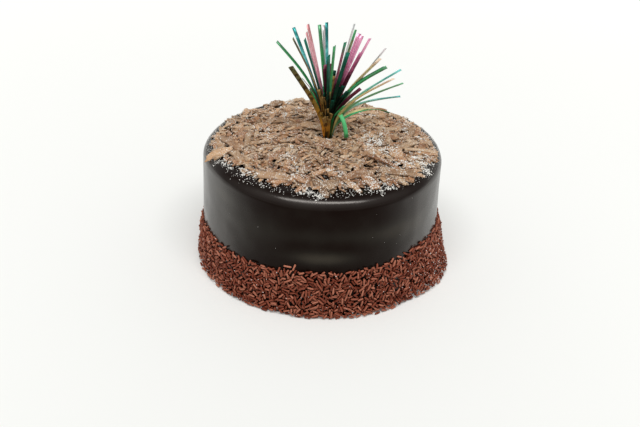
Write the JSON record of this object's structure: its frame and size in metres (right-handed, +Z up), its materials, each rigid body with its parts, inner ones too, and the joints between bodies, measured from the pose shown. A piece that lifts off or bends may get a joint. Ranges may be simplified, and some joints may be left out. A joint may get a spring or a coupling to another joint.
{
  "type": "chocolate layer cake",
  "caption": "Small round chocolate cake under a dark glaze, with chocolate shavings on top, a band of sprinkles round its foot, and a foil pick standing in its middle.",
  "frame": {"origin": "centre of the flat underside, on the surface that the cake rests on", "axes": "+Z up through the middle of the cake, -Y towards the front, +X to the right as the front is seen"},
  "size_m": [0.1739, 0.1722, 0.1582],
  "materials": {
    "chocolate_glaze": "very dark brown poured glaze with a soft gloss",
    "chocolate_shavings": "dull milk chocolate brown, scratched along each curl",
    "chocolate_sprinkles": "reddish brown with a faint sheen",
    "powdered_sugar": "white sugar grains",
    "foil_green": "green metallised foil",
    "foil_teal": "blue-green metallised foil",
    "foil_pink": "pink metallised foil",
    "foil_purple": "dark purple metallised foil",
    "foil_gold": "old gold metallised foil",
    "foil_silver": "pale iridescent metallised foil",
    "pick_stick": "plain pale wood"
  },
  "bodies": {
    "root": {"cake": "chocolate_glaze", "foil_pick": "foil_green"}
  },
  "joints": []
}
